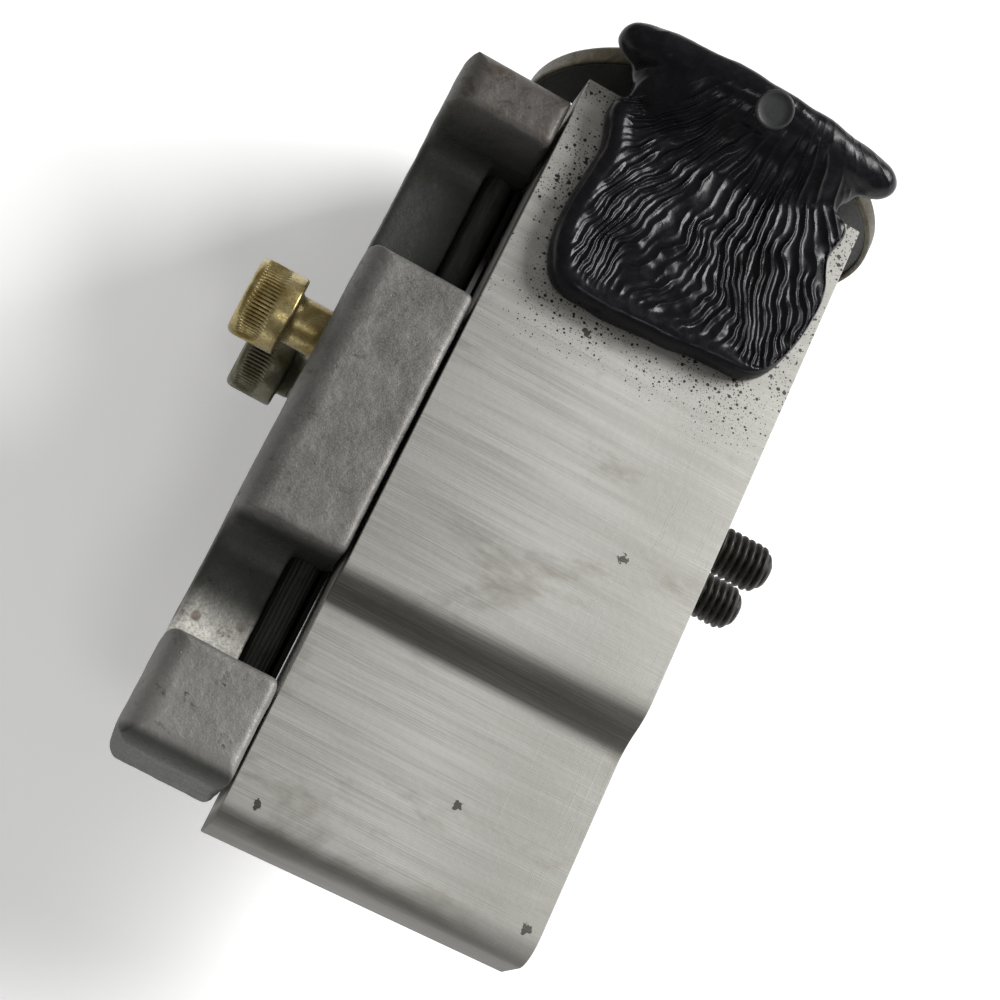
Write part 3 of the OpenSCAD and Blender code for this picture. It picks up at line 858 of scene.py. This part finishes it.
def make_cup():
    """The pressed cup: rolled rim, thin wall and a flat back with four bolt holes."""
    back, front = CUP_HIGH[1], CUP_LOW[1]
    r = RIM_R
    wall = CUP_WALL
    rows = [(back, CUP_BORE), (back, r - 1.2)]
    rows += arc(back - 1.0, r - 1.0, 1.0, 0, 90, 8)
    rows += [(front + 0.9, r)]
    rows += arc(front + wall / 2, r - wall / 2, wall / 2, 90, 270, 10)
    rows += [(back - wall - 0.4, r - wall), (back - wall, r - wall - 0.4), (back - wall, CUP_BORE)]
    segments = 192
    angles = np.arange(segments) * 2 * np.pi / segments
    verts = []
    for y, q in rows:
        dent = 0.05 * np.sin(angles * 3 + 1.0) * (y < back - 1.5)
        radius = np.minimum(q + dent - 0.05 * (q > r - 1.2), r)
        verts.append(np.c_[radius * np.sin(angles), np.full(segments, y), radius * np.cos(angles)])
    faces = grid_faces(len(rows), segments)
    last = (len(rows) - 1) * segments
    faces += [(last + j, last + (j + 1) % segments, (j + 1) % segments, j) for j in range(segments)]
    obj = add_object("cup_shell", np.concatenate(verts), faces)
    fix_normals(obj)
    holes = []
    for k in range(4):
        a = k * math.pi / 2
        x, z = BOLT_CIRCLE_R * math.cos(a), BOLT_CIRCLE_R * math.sin(a)
        holes.append(cylinder_cutter((x, back - 3, z), (x, back + 1, z), BOLT_HOLE_R, 1, 40))
    cut(obj, holes)
    shade_by_angle(obj, 35)
    paint(obj, "olive_zinc")
    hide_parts("flange_cup")
    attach(obj, "flange")


# ---------------------------------------------------------------- mastic

PAD_TOP = mm_box("mastic_pad")[1][2]
PAD_RIM = 4.7                             # height of the pad's raised border over the block
PAD_FLOOR = 3.9                           # height of the wrinkled surface inside the border
RAMP_LEFT, RAMP_RIGHT = -18.6, 19.6       # sides of the ramp that climbs the end of the block
ROLL_LEFT, ROLL_RIGHT = -20.0, 21.4       # ends of the roll that lies over the cup's rim
ROLL_BALLS = 49
MASTIC_VOXEL = 0.36                       # size of the mastic's skin voxels
FAN_X, FAN_Y = 7.5, 11.0                  # where the veins fan out from
VEINS = 26                                # veins to a radian are this over pi
VEIN_HEIGHT = 0.8
DISC_TILT = math.radians(30)              # lean of the round plug out of the level
DISC_SINK = 0.85                          # how deep the plug is pressed in
DISC_SHIFT = 1.2                          # and how far it sits to the left
DISC_OUT = Vector((0, -math.sin(DISC_TILT), math.cos(DISC_TILT)))
DISC_BOX = mm_box("seal_button")
DISC_CENTRE = Vector(DISC_BOX[0] + DISC_BOX[1]) / 2 - DISC_OUT * DISC_SINK - Vector((DISC_SHIFT, 0, 0))


def smooth_loop(points, count):
    """A closed, evenly spaced Catmull-Rom loop through given points."""
    pts = np.array(points, float)
    n = len(pts)
    out = []
    for i in range(n):
        p0, p1, p2, p3 = (pts[(i + k) % n] for k in (-1, 0, 1, 2))
        for t in np.linspace(0, 1, count // n, endpoint=False):
            out.append(0.5 * (2 * p1 + (p2 - p0) * t + (2 * p0 - 5 * p1 + 4 * p2 - p3) * t * t
                              + (3 * p1 - p0 - 3 * p2 + p3) * t ** 3))
    return np.array(out)


def pad_outline():
    """The pad's outline on the block's top, a lopsided rounded square, as (X, Y)."""
    return smooth_loop([
        (-17.4, END - 0.5), (-18.8, -20), (-19.8, -33), (-17.8, -41.3), (-13.0, -44.0), (0, -43.6),
        (12, -42.4), (17.5, -41.2), (21.0, -37.0), (23.0, -30), (23.2, -24), (21.4, -17),
        (18.8, END - 0.5)], 130)


def loft(name, loops):
    """A closed solid through loops of equal length, with its two ends filled."""
    n = len(loops[0])
    faces = grid_faces(len(loops), n)
    faces += [tuple(reversed(range(n))), tuple(range((len(loops) - 1) * n, len(loops) * n))]
    obj = add_object(name, np.concatenate(loops), faces)
    fix_normals(obj)
    return obj


def ball(name, centre, radii):
    """A plain ellipsoid to join into a larger lump."""
    rows = [(math.sin(a), math.cos(a)) for a in np.radians(np.linspace(-80, 80, 13))]
    obj = turned(name, rows, 32, "y", (0, 0, 0))
    for vert in obj.data.vertices:
        p = vert.co / MM
        vert.co = Vector([c + q * r for c, q, r in zip(centre, p, radii)]) * MM
    return obj


def mastic_lumps():
    """The plain closed solids that the mastic is joined from."""
    outline = pad_outline()
    middle = outline.mean(axis=0)
    loops = []
    for z, inset in ((0.05, 0.6), (0.4, 0.15), (1.6, 0.0), (3.2, 0.15), (4.2, 0.7), (PAD_RIM, 1.8)):
        ring = middle + (outline - middle) * (1 - inset / 21)
        loops.append(np.c_[ring, np.full(len(ring), TOP + z)])
    lumps = [loft("lump", loops)]
    ramp = [(-15, 0.1), (-3.95, 0.1), (-3.95, 12.0), (-6, 10.8), (-9, 8.0), (-15, 3.9)]
    loops = []
    for x in np.linspace(RAMP_LEFT, RAMP_RIGHT, 31):
        low = 5.5 * abs(x / RAMP_RIGHT) ** 4
        loops.append(np.array([(x, y, TOP + max(z - low, 0.1)) for y, z in ramp]))
    lumps.append(loft("lump", loops))
    for k in range(ROLL_BALLS):
        t = k / (ROLL_BALLS - 1)
        x = ROLL_LEFT + (ROLL_RIGHT - ROLL_LEFT) * t
        side = abs(2 * t - 1)
        thick = 1.9 + 2.0 * side ** 3
        reach = RIM_R + 0.2 + 0.75 * thick
        z = math.sqrt(max(reach ** 2 - x ** 2, 1))
        lumps.append(ball("lump", (x, -2.0, z), (thick + 0.9, 2.5 + 0.9 * side, thick)))
        lumps.append(ball("lump", (x * 0.9, -4.6, z - 2.0 - side), (2.0, 2.4, 2.4)))
    return lumps


def wrinkles(x, y):
    """Height of the ridges at a place on the pad, 0 to 1: long thin veins that fan out and gain branches."""
    dx, dy = x - FAN_X, y - FAN_Y
    r = math.hypot(dx, dy)
    turn = math.atan2(dx, -dy)
    at = Vector((x * 0.06, y * 0.06, 0.0))
    turn += 0.07 * noise.noise(at) + 0.030 * noise.noise(at * 3.2) + 0.009 * noise.noise(at * 9)
    height = 0.0
    for split, phase, near, seed in ((1, 0.0, 9, 1.7), (1, math.pi / 2, 20, 4.2), (2, math.pi / 2, 33, 7.7)):
        start = near + 7 * noise.noise(Vector((turn * 9.0, seed, 0.0)))
        weight = smooth_step(r, start, start + 4)
        bend = 1.5 * noise.noise(Vector((turn * 4.0, r * 0.07, 1.3)))
        wave = math.sin(split * (VEINS * turn + bend) + phase)
        crest = (1 - abs(wave)) ** (3.0 / split)
        swell = 0.35 + 0.65 * smooth_step(noise.noise(Vector((turn * 7.0, r * 0.13, seed + 5))), -0.30, 0.30)
        height = max(height, weight * crest * swell)
    return height


def inset_at(x, y, loop):
    """How far a place is inside the pad's outline, roughly, in mm."""
    return float(np.hypot(loop[:, 0] - x, loop[:, 1] - y).min())


def make_mastic():
    """The mastic in one piece: joined lumps, skinned, smoothed, hollowed inside its border and wrinkled."""
    lumps = mastic_lumps()
    obj = lumps[0]
    with bpy.context.temp_override(active_object=obj, selected_editable_objects=lumps):
        bpy.ops.object.join()
    obj.name = "mastic_lump"
    skin(obj, MASTIC_VOXEL, 24)
    mod = obj.modifiers.new("fine", "SUBSURF")
    mod.levels = 1
    bake_modifiers(obj)
    shape_mastic(obj)
    shade_smooth(obj.data)
    paint(obj, "black_mastic")
    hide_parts("mastic_pad")
    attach(obj, "block")


def relief(x, y, loop):
    """What the pad's upper side gains or loses in height at a place: its border, hollow and veins."""
    lip_w = 1.0 - 0.8 * smooth_step(x, 10, 20)
    inner = 1.0
    if y < END - 3:
        inner = smooth_step(inset_at(x, y, loop), 2.0 * lip_w, 4.4 * lip_w)
    sink = (PAD_RIM - PAD_FLOOR) * inner * (1 - smooth_step(y, -15, -7))
    hollow = 0.8 * math.exp(-((x - 3.0) / 6.0) ** 2 - ((y + 8.0) / 4.0) ** 2)
    calm = 1 - 0.9 * math.exp(-((x - 4.0) / 4.5) ** 2 - ((y + 5.0) / 3.5) ** 2)
    near_lip = smooth_step(y, -6.5, -4.0)
    return VEIN_HEIGHT * wrinkles(x, y) * inner * calm * (1 - 0.9 * near_lip) - sink - hollow


def shape_mastic(obj):
    """Gives the lump its relief and unevenness, and keeps it clear of the plug, the cup and the block."""
    loop = pad_outline()
    normals = [vert.normal.copy() for vert in obj.data.vertices]
    for vert, normal in zip(obj.data.vertices, normals):
        x, y, z = vert.co / MM
        up = smooth_step(normal.z, 0.25, 0.75)
        if up > 0 and z > TOP + 2:
            z += up * relief(x, y, loop)
        at = Vector((x, y, z))
        at += normal * (noise.noise(at * 0.16) * 0.4 + noise.noise(at * 0.5) * 0.07)
        vert.co = Vector(clear_of_cup(*under_disc(*at))) * MM
    obj.data.update()


def clear_of_cup(x, y, z):
    """Moves a point out of the cup's path and off the block."""
    reach = math.hypot(x, z)
    gap = RIM_R + 0.35
    front = CUP_LOW[1] - 0.4
    if y > front and reach < gap:
        if gap - reach < y - front:
            x, z = x * gap / reach, z * gap / reach
        else:
            y = front
    if y < END + 0.05:
        z = max(z, TOP + 0.03)
    return x, y, min(z, PAD_TOP)


def under_disc(x, y, z):
    """Presses the mastic down under the round plug and leaves a low roll around it."""
    away = Vector((x, y, z)) - DISC_CENTRE
    height = away.dot(DISC_OUT)
    radius = (away - DISC_OUT * height).length
    if not -2.0 < height < 4.0 or radius > 5.5:
        return x, y, z
    limit = 1.35 + 1.0 * smooth_step(radius, 2.7, 3.3) + 3.0 * smooth_step(radius, 3.6, 5.5)
    drop = max(height - limit, 0.0)
    return tuple(Vector((x, y, z)) - DISC_OUT * drop)


def make_button():
    """The round plug pressed in the mastic: a shallow dish with a raised rim."""
    rows = [(0, 3.0), (1.5, 3.15), (1.8, 3.05), (1.95, 2.8)]
    rows += [(1.85, 2.55), (1.7, 2.4), (1.62, 1.5), (1.66, 0.4)]
    obj = turned("button", rows, 64, "y", (0, 0, 0))
    turn = Vector((0, 1, 0)).rotation_difference(DISC_OUT).to_matrix()
    for vert in obj.data.vertices:
        vert.co = (turn @ (vert.co / MM) + DISC_CENTRE) * MM
    obj.data.update()
    paint(obj, "dull_plastic")
    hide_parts("seal_button")
    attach(obj, "block")


# ---------------------------------------------------------------- rods and plain CAD nodes

def make_rod(node, flute_depth):
    """A rod with chamfered ends, fluted along its length if flute_depth isn't 0."""
    low, high = mm_box(node)
    r = (high[0] - low[0]) / 2

    def body(angles):
        return r - flute_depth * (1 - np.abs(np.sin(angles * 9))) ** 2

    rows = [(0, r - 0.8), (0.5, r - 0.25), (0.9, body)]
    length = high[1] - low[1]
    rows += [(a, body) for a in np.linspace(2, length - 2, 9)]
    rows += [(length - 0.9, body), (length - 0.5, r - 0.25), (length, r - 0.8)]
    centre = ((low[0] + high[0]) / 2, low[1], (low[2] + high[2]) / 2)
    obj = turned(node + "_piece", rows, 144, "y", centre)
    shade_by_angle(obj, 40)
    paint(obj, "oily_rod")
    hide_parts(node)
    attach(obj, "jaw")


CAD_PAINTS = {
    "steel": ("thread_insert_upper", "thread_insert_lower", "retaining_dowels", "thrust_race_block",
              "guide_pin_low", "guide_pin_top", "thrust_balls", "thrust_race_flange", "swivel_pin",
              "drive_dowel"),
    "bronze": ("bush_inner", "bush_outer", "ball_cage"),
    "wear_strip": ("wear_strip_low", "wear_strip_top"),
    "felt": ("grease_seal",),
    "black_facing": ("face_disc",),
    "olive_zinc": ("lock_washer", "flange_nut"),
}


def paint_cad_nodes():
    """Gives the pieces that keep their CAD shape their materials."""
    for name, nodes in CAD_PAINTS.items():
        for node in nodes:
            paint(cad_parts[node], name)


# ---------------------------------------------------------------- stage, light and camera

def make_stage():
    """A pale floor under the part."""
    size = 5.0
    z = CUP_LOW[2] * MM
    corners = [(-size, -size, z), (size, -size, z), (size, size, z), (-size, size, z)]
    mesh = bpy.data.meshes.new("floor")
    mesh.from_pydata(corners, [], [(0, 1, 2, 3)])
    floor = bpy.data.objects.new("floor", mesh)
    bpy.context.scene.collection.objects.link(floor)
    mat = bpy.data.materials.new("floor")
    mat.use_nodes = True
    shader = mat.node_tree.nodes["Principled BSDF"]
    shader.inputs["Base Color"].default_value = (0.93, 0.93, 0.93, 1)
    shader.inputs["Roughness"].default_value = 0.9
    shader.inputs["Emission Color"].default_value = (1, 1, 1, 1)
    shader.inputs["Emission Strength"].default_value = 0.30
    mesh.materials.append(mat)


MIDDLE = (0, -0.05, 0)                    # what the lights are aimed at


def add_area(name, place, size, power):
    """A rectangular area light aimed at the part's middle."""
    data = bpy.data.lights.new(name, "AREA")
    data.shape = "RECTANGLE"
    data.size, data.size_y = size
    data.energy = power
    obj = bpy.data.objects.new(name, data)
    obj.location = place
    obj.rotation_euler = (Vector(MIDDLE) - Vector(place)).to_track_quat("-Z", "Y").to_euler()
    bpy.context.scene.collection.objects.link(obj)


def make_light():
    """Soft light from above the free side and the flange, with a weak fill from the nose's side."""
    world = bpy.data.worlds.new("studio")
    world.use_nodes = True
    background = world.node_tree.nodes["Background"]
    background.inputs["Color"].default_value = (0.97, 0.965, 0.95, 1)
    background.inputs["Strength"].default_value = 0.24
    bpy.context.scene.world = world
    add_area("key", (1.70, 1.20, 1.45), (1.30, 0.95), 86.0)
    add_area("fill", (0.15, -0.55, 0.85), (0.22, 0.18), 0.9)
    bpy.context.scene.view_settings.view_transform = "Standard"


def make_camera():
    """The camera: above the nose, a little to the jaw's side, rolled so that the part lies aslant."""
    data = bpy.data.cameras.new("camera")
    data.sensor_width = 36
    data.lens = 82.8
    data.clip_start = 0.01
    cam = bpy.data.objects.new("camera", data)
    place = Vector((-51.1, -192.3, 341.8)) * MM
    target = Vector((-8.76, -77.53, 22.0)) * MM
    aim = (target - place).to_track_quat("-Z", "Y").to_matrix().to_4x4()
    roll = Matrix.Rotation(math.radians(47.28), 4, "Z")
    cam.matrix_world = Matrix.Translation(place) @ aim @ roll
    bpy.context.scene.collection.objects.link(cam)
    bpy.context.scene.camera = cam


make_camera()
make_stage()
make_light()
make_block()
make_jaw()
make_screw("upper_screw", "clamp_screw_upper", UPPER_Z, 65, "yellow_zinc")
# the lower screw's darker zinc is painted shade
make_screw("lower_screw", "clamp_screw_lower", LOWER_Z, 9.5, "shaded_zinc")
make_cup()
make_mastic()
make_button()
make_rod("jaw_rod_low", 0.16)
make_rod("jaw_rod_top", 0.0)
paint_cad_nodes()
